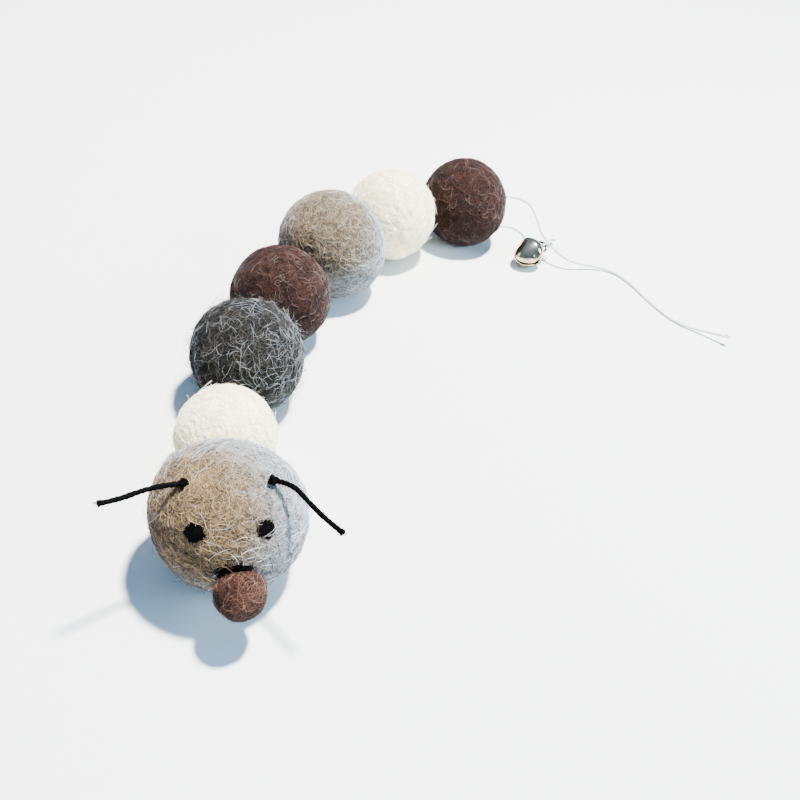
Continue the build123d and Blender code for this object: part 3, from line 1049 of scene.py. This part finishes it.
# %% Whiskers
whisker_d, whisker_knot_d = 1.05 * mm, 2.3 * mm
whisker_places = {"left": (-72.0, 55.5), "right": (67.0, 58.0)}
whisker_routes = {
    "left": [(-3.2, 0.8, 0.7), (-7.0, 2.4, 1.3), (-10.8, 4.6, 1.7), (-13.9, 6.0, 2.6)],
    "right": [(3.2, 1.5, 0.6), (5.8, 5.7, 0.3), (8.4, 9.7, 0.0), (11.1, 13.4, 0.4)],
}


def head_offset(offset):
    """A step from a place on the head, given to the side, forward and up, in mm."""
    aside, forward, up = offset
    return (face_side * aside + face_forward * forward + face_up * up) * mm


def frayed_end(rng, tip, way, count, length, spread):
    """Places and outward directions of threads that splay from a cut end."""
    paths, outs = [], []
    for _ in range(count):
        splay = unit_rows(rng.normal(size=3))
        share = np.linspace(0, 1, 6)[:, None]
        reach = length * rng.uniform(0.5, 1.2)
        lean = np.array(way) * share * reach + splay * spread * (0.25 + share**1.5)
        paths.append(np.array(tip) - np.array(way) * 0.3 * mm + lean)
        outs.append(np.repeat(splay[None], 6, axis=0))
    return np.array(paths), np.array(outs)


whisker_step, thread_count = 0.14 * mm, 16
for seed, side in ((41, "left"), (42, "right")):
    knot_axis = head_way(*whisker_places[side])
    knot_centre = head + knot_axis * (head_r + whisker_knot_d / 2 - 0.3 * mm)
    points = [knot_centre] + [knot_centre + head_offset(p) for p in whisker_routes[side]]
    line = even_line(spline_line(f"whisker line {side}", points), whisker_step)
    start = int(0.9 * mm / whisker_step)
    cord_piece(
        f"whisker_cord_{side}", f"whisker_{side}", f"whisker_{side}", black_cord, "cord_black",
        line[start:], whisker_d, 3, 3.1 * mm, groove=0.17, sides=24, wobble=0.035, seed=seed,
        flare=([0, 0.4 * mm, 1.3 * mm], [1.3, 1.12, 1.0]),
    )
    end_way = unit_rows(line[-1] - line[-6])
    rng = np.random.default_rng(seed)
    paths, outs = frayed_end(rng, line[-1], end_way, thread_count, 0.9 * mm, 0.45 * mm)
    vertices, faces, owner = fibre_tubes(rng, paths, outs, 0.1)
    tones = rng.choice(4, size=thread_count, p=(0.4, 0.3, 0.1, 0.2))
    new_piece(
        f"whisker_fray_{side}", vertices, faces, f"whisker_{side}", fibres["black"],
        tones[owner], slot="cord_black",
    )
    cord_piece(
        f"whisker_tie_{side}", f"whisker_knot_{side}", "head", black_cord, "cord_black",
        even_line(knot_line(knot_centre, knot_axis, 0.62 * mm, 0.42 * mm), cord_step),
        0.95 * mm, 3, 2.2 * mm, groove=0.2, sides=20, seed=seed + 5,
    )
    print("whisker", side, "mm:", round(line_length([Vector(p) for p in line]) / mm, 1))

# %% [markdown]
# ## Tail, hitch and end knot
# The tail is the same two-ply cotton as the cord in the balls. It is tied round the bell's
# ring with a few turns, and an overhand knot keeps its end from fraying. It is a free cord.

# %% Tail
tail_even = even_line(tail_line, 0.16 * mm)
tail = cord_piece(
    "tail", "tail_cord", "brown_ball_rear", white_cord, "cord_white",
    tail_even, cord_d, 2, 2.3 * mm, groove=0.24, sides=16, seed=51,
)

hitch_run = 4  # the hitch is at the middle of the run that starts at this point of the tail
hitch_centre = (tail_points[hitch_run] + tail_points[hitch_run + 1]) / 2
nearest = int(np.argmin(np.linalg.norm(tail_even - np.array(hitch_centre), axis=1)))
hitch_way = Vector(unit_rows(tail_even[nearest + 4] - tail_even[nearest - 4]))
print("hitch, mm:", [round(v / mm, 1) for v in hitch_centre])

# %% Bell directions
bell_d, bell_wall, bell_nose = 8.6 * mm, 0.35 * mm, 0.5 * mm
bell_r = bell_d / 2
loop_wire_d, loop_inner_d = 0.6 * mm, 1.9 * mm
loop_r = (loop_inner_d + loop_wire_d) / 2
loop_height = bell_r + 0.75 * mm
bight_r = 0.85 * mm
bight_height = loop_height + loop_r
bell_reach = bight_height + bight_r + 0.8 * mm
bell_rise = hitch_centre.z - bell_r
bell_flat = math.sqrt(bell_reach**2 - bell_rise**2)
bell_centre = hitch_centre - heading_vector(49.5) * bell_flat - Vector((0, 0, bell_rise))
bell_axis = (hitch_centre - bell_centre).normalized()
bell_side = bell_axis.cross(Vector((0, -0.55, 0.83))).normalized()
bell_third = bell_axis.cross(bell_side)
print("bell centre, mm:", [round(v / mm, 1) for v in bell_centre])

# %% Hitch and end knot
def coil_line(centre, axis, radius, length, turns):
    """A close winding about an axis."""
    across = axis.cross(Vector((0.2, 0.3, 0.9))).normalized()
    third = axis.cross(across)
    places = []
    steps = 28  # to a turn
    for step in range(int(turns * steps) + 1):
        turn = 2 * math.pi * step / steps
        along = axis * (length * (step / (turns * steps) - 0.5))
        round_axis = across * (math.cos(turn) * radius) + third * (math.sin(turn) * radius)
        places.append(centre + round_axis + along)
    return places


def hitch_part(line, diameter, seed, sides=12, spacing=cord_step):
    """One turn, tie or end of the hitch, from its line."""
    return twisted_cord(
        even_line(line, spacing), diameter, 2, 2.0 * mm, groove=0.2, sides=sides, seed=seed
    )


wraps = coil_line(Vector(tail_even[nearest]), hitch_way, 0.80 * mm, 1.7 * mm, 2.8)
tie = knot_line(hitch_centre - bell_axis * 0.35 * mm, hitch_way, 0.75 * mm, 0.5 * mm)
stub_route = (
    (-0.2, 0.2, 0), (0.6, 0.9, -0.3), (1.7, 1.1, -0.7), (2.3, 0.3, -0.4), (2.2, -0.6, 0.2)
)
stub = [
    hitch_centre + bell_axis * (x * mm) + bell_third * (y * mm) + bell_side * (z * mm)
    for x, y, z in stub_route
]
bight_centre = bell_centre + bell_axis * bight_height
bight = [
    bight_centre + (bell_axis * math.cos(turn) + bell_third * math.sin(turn)) * bight_r
    for turn in np.linspace(0, 2 * math.pi, 49)
]
hitch_parts = [
    hitch_part(wraps, 0.70 * mm, 52),
    hitch_part(tie, 0.66 * mm, 53),
    hitch_part(spline_line("hitch end", stub), 0.62 * mm, 56),
    hitch_part(bight, cord_d * 0.9, 54, sides=14, spacing=0.1 * mm),
]
hitch = new_piece(
    "hitch_turns", *joined(hitch_parts), "brown_ball_rear", [white_cord], slot="cord_white"
)
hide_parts("bell_hitch")

tail_end_way = Vector(unit_rows(tail_even[-1] - tail_even[-8]))
end_centre = Vector(tail_even[-1]) - tail_end_way * 1.1 * mm
end_knot = cord_piece(
    "tail_tie", "tail_end_knot", "brown_ball_rear", white_cord, "cord_white",
    even_line(knot_line(end_centre, tail_end_way, 0.5 * mm, 0.42 * mm), 0.1 * mm),
    0.6 * mm, 2, 1.8 * mm, groove=0.2, sides=12, seed=55,
)

# %% [markdown]
# ## Bell
# A jingle bell is pressed from thin sheet: a low round top, and two lips folded in until they
# almost meet. The slot between the lips ends in round holes, which let the sheet fold. Two
# curved sheets are laid out by angle, welded along the top, thickened and rounded.

# %% Metal materials
metal_group, metal_in, metal_out = new_group(
    "Plated metal",
    {
        "Bright": ("NodeSocketColor", (0.7, 0.7, 0.7, 1)),
        "Dull": ("NodeSocketColor", (0.4, 0.4, 0.36, 1)),
        "Smooth": ("NodeSocketFloat", 0.12),
        "Worn": ("NodeSocketFloat", 0.4),
    },
    {"Color": "NodeSocketColor", "Roughness": "NodeSocketFloat", "Height": "NodeSocketFloat"},
)
metal_place = add_node(metal_group, "ShaderNodeTexCoord").outputs["Object"]
tarnish = noise(metal_group, metal_place, 420.0, detail=6.0, roughness=0.7)
scratches = strands_at(metal_group, metal_place, 700.0, 0.012, 0.02)
dull_share = stretch(metal_group, tarnish, 0.42, 0.72)
metal_colour = mix_colours(metal_group, dull_share, metal_in["Bright"], metal_in["Dull"])
link_nodes(metal_group, metal_colour, metal_out["Color"])
faint_scratches = math_node(metal_group, "MULTIPLY", scratches, 0.6)
wear = math_node(metal_group, "MAXIMUM", dull_share, faint_scratches)
rough = stretch(metal_group, wear, 0.0, 1.0, metal_in["Smooth"], metal_in["Worn"])
link_nodes(metal_group, rough, metal_out["Roughness"])
link_nodes(metal_group, math_node(metal_group, "ADD", tarnish, scratches), metal_out["Height"])


def metal_material(name, bright, dull, smooth, worn):
    material, tree, shader = shader_of(name)
    values = {"Bright": colour(*bright), "Dull": colour(*dull), "Smooth": smooth, "Worn": worn}
    plate = group_node(tree, metal_group, values)
    link_nodes(tree, plate.outputs["Color"], shader.inputs["Base Color"])
    link_nodes(tree, plate.outputs["Roughness"], shader.inputs["Roughness"])
    add_bump(tree, shader, plate.outputs["Height"], 0.15, 0.02 * mm)
    shader.inputs["Metallic"].default_value = 1.0
    return material


# the plate is tinted warm so its reflections of the blue surround read cream: painted reflection
# colour
nickel = metal_material("nickel plate", (0.60, 0.50, 0.35), (0.20, 0.165, 0.11), 0.1, 0.32)
# the inside of the bell is nearly black: painted shade inside its hollow
painted_shade_inside = metal_material(
    "bell inside", (0.030, 0.028, 0.016), (0.012, 0.011, 0.006), 0.5, 0.8
)
# the ring's wire is far darker than steel, standing in for dark reflections: painted reflection
ring_wire = metal_material("ring wire", (0.125, 0.130, 0.125), (0.05, 0.052, 0.05), 0.1, 0.3)
steel = metal_material("pellet steel", (0.50, 0.50, 0.52), (0.28, 0.27, 0.26), 0.2, 0.45)
finish_node("bell_pellet", steel)

# %% Bell
bell_slot, bell_hole_d, bell_turn = 0.85 * mm, 2.1 * mm, math.radians(-12)
down_turn = math.atan2(-bell_third.z, -bell_side.z)  # the side that the bell rests on
ridge_turn, dent_turn = math.radians(196), math.radians(-52)
shoulder = 1.3 * mm


def swell(value, middle, width):
    """A smooth hump, one high at its middle."""
    return math.exp(-(((value - middle) / width) ** 2))


def turn_between(angle, middle):
    return math.remainder(angle - middle, 2 * math.pi)


def bell_outline(share, angle):
    """Distance from the axis, and height above the centre, from the top to the nose.

    Round on the side it rests on, and with a low shoulder and straighter flanks elsewhere.
    """
    pressed = 0.5 - 0.5 * math.cos(angle - down_turn)
    turn = math.pi * min(share, 0.5)
    out, height = math.sin(turn), math.cos(turn)
    dome = (bell_r * out**0.9, shoulder + (bell_r - shoulder) * height)
    if share <= 0.5:
        round_out, round_height = bell_r * out, bell_r * height
    else:
        turn = math.pi * (share - 0.5)
        round_out = bell_r * math.cos(turn) ** 0.86
        round_height = -(bell_r + bell_nose) * math.sin(turn)
        flank = (bell_r + bell_nose + shoulder) * math.sin(turn) ** 1.5
        dome = (bell_r * math.cos(turn) ** 0.95, shoulder - flank)
    out = round_out + (dome[0] - round_out) * pressed
    height = round_height + (dome[1] - round_height) * pressed
    away = turn_between(angle, ridge_turn)
    out += 0.45 * mm * swell(away, 0, 0.38) * swell(height, shoulder, 1.7 * mm)
    away = turn_between(angle, dent_turn)
    out -= 0.28 * mm * swell(away, 0, 0.24) * swell(height, -0.2 * mm, 1.0 * mm)
    return out, height


def bell_place(share, angle):
    out, height = bell_outline(share, angle)
    way = bell_side * math.cos(angle) + bell_third * math.sin(angle)
    return bell_centre + way * out + bell_axis * height


even_stations, slot_stations = np.linspace(0.02, 0.985, 54), np.linspace(0.36, 0.6, 22)
stations = sorted(set(np.round(np.concatenate([even_stations, slot_stations]), 4)))
across_count = 56
vertices, faces = [], []
for lip in range(2):
    base = len(vertices)
    for share in stations:
        edges = []
        first_end = bell_turn + lip * math.pi
        for end, sign in ((first_end, 1), (first_end + math.pi, -1)):
            out, height = bell_outline(share, end)
            hole = math.sqrt(max((bell_hole_d / 2) ** 2 - height**2, 0))
            cut = max(hole, bell_slot / 2 if height < 0 else 0)
            edges.append(end + sign * math.asin(min(cut / max(out, 1e-6), 0.9)))
        for step in range(across_count + 1):
            angle = edges[0] + (edges[1] - edges[0]) * step / across_count
            vertices.append(bell_place(share, angle)[:])
    for row in range(len(stations) - 1):
        for step in range(across_count):
            a = base + row * (across_count + 1) + step
            b = a + across_count + 1
            faces.append((a, b, b + 1, a + 1))
crown = len(vertices)
vertices.append((bell_centre + bell_axis * bell_r)[:])
for lip in range(2):
    base = lip * len(stations) * (across_count + 1)
    faces += [(crown, base + step, base + step + 1) for step in range(across_count)]
bell = new_piece("bell_lips", vertices, faces, "bell", [nickel, painted_shade_inside], slot="nickel")
sheet = bmesh.new()
sheet.from_mesh(bell.data)
bmesh.ops.remove_doubles(sheet, verts=sheet.verts, dist=0.01 * mm)
bmesh.ops.recalc_face_normals(sheet, faces=sheet.faces)
sheet.to_mesh(bell.data)
sheet.free()
thick = bell.modifiers.new("sheet thickness", "SOLIDIFY")
thick.thickness = bell_wall
thick.offset = -1.0
# the inner faces take the nearly black inside, painted shade
thick.material_offset = 1
thick.material_offset_rim = 0
rounded = bell.modifiers.new("rounded edges", "BEVEL")
rounded.width = 0.06 * mm
rounded.segments = 2
rounded.limit_method = "ANGLE"
rounded.angle_limit = math.radians(50)
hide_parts("bell_shell")
print("bell faces before thickening:", len(bell.data.polygons))

# %% [markdown]
# ## Bell's ring
# A short wire stands in the top of the bell, bent to a D. Its feet go through the sheet and
# its bow holds the cord.

# %% Bell ring
loop_centre = bell_centre + bell_axis * loop_height
ring_points = [
    loop_centre + bell_side * (x * loop_r) + bell_axis * (y * loop_r)
    for x, y in (
        (-0.85, -1.2), (-1.1, -0.75), (-1.3, -0.3), (-1.3, 0.35), (-0.95, 0.9), (-0.35, 1.12),
        (0.35, 1.12), (0.95, 0.9), (1.3, 0.35), (1.3, -0.3), (1.1, -0.75), (0.85, -1.2),
    )
]
ring_wire_d = 0.8 * mm
ring = cord_piece(
    "bell_ring", "bell_loop", "bell", ring_wire, "nickel",
    even_line(spline_line("ring line", ring_points), 0.1 * mm), ring_wire_d, 1, 1.0,
    groove=0.0, sides=20, wobble=0.01, seed=61,
)

# %% [markdown]
# ## Floor and light
# A plain pale floor and backdrop. A small warm lamp, high to the right and a little behind,
# gives each ball a lit crown and a shadow to the lower left. A wide cool one, low on the
# right, tints the right sides. The surround goes from dark at the horizon to blue overhead,
# which keeps the shadows blue and the undersides dark, and the camera doesn't see it.

# %% Floor and light
floor_half = 3.0
floor_material, _, floor_shader = shader_of("pale floor")
floor_shader.inputs["Base Color"].default_value = colour(0.76, 0.76, 0.76)
floor_shader.inputs["Roughness"].default_value = 0.9
floor_mesh = bpy.data.meshes.new("floor")
floor_corners = [
    (x * floor_half, y * floor_half, 0) for x, y in ((-1, -1), (1, -1), (1, 1), (-1, 1))
]
floor_mesh.from_pydata(floor_corners, [], [(0, 1, 2, 3)])
floor_mesh.materials.append(floor_material)
floor = bpy.data.objects.new("floor", floor_mesh)
bpy.context.scene.collection.objects.link(floor)

toy_middle = (Vector(cad_box[0]) + Vector(cad_box[1])) / 2
lamp_distance = 0.9


def add_lamp(name, way, size, power, tint):
    """A round lamp that shines on the toy from a direction."""
    way = Vector(way).normalized()
    lamp_data = bpy.data.lights.new(name, "AREA")
    lamp_data.shape = "DISK"
    lamp_data.size = size
    lamp_data.energy = power
    lamp_data.color = tint
    lamp = bpy.data.objects.new(name, lamp_data)
    lamp.location = toy_middle + way * lamp_distance
    lamp.rotation_euler = (-way).to_track_quat("-Z", "Y").to_euler()
    bpy.context.scene.collection.objects.link(lamp)


add_lamp("key", (0.178, 0.152, 0.972), 0.085, 64.0, (1.0, 0.965, 0.91))
add_lamp("side", (0.88, -0.22, 0.42), 0.5, 15.0, (0.54, 0.79, 1.0))

world = bpy.data.worlds.new("surround")
world.use_nodes = True
world_tree = world.node_tree
looking = add_node(world_tree, "ShaderNodeTexCoord").outputs["Generated"]
height = add_node(world_tree, "ShaderNodeSeparateXYZ", {0: looking}).outputs["Z"]
sky = add_node(world_tree, "ShaderNodeValToRGB", {0: height})
horizon, overhead = sky.color_ramp.elements
horizon.position, horizon.color = 0.05, colour(0.07, 0.085, 0.08)
overhead.position, overhead.color = 0.75, colour(0.30, 0.60, 1.0)
surround = world_tree.nodes["Background"]
link_nodes(world_tree, sky.outputs["Color"], surround.inputs["Color"])
backdrop = add_node(world_tree, "ShaderNodeBackground", {"Color": colour(0.80, 0.80, 0.80)})
by_camera = add_node(world_tree, "ShaderNodeLightPath").outputs["Is Camera Ray"]
surface = add_node(
    world_tree,
    "ShaderNodeMixShader",
    {0: by_camera, 1: surround.outputs[0], 2: backdrop.outputs[0]},
)
link_nodes(world_tree, surface.outputs[0], world_tree.nodes["World Output"].inputs["Surface"])
bpy.context.scene.world = world
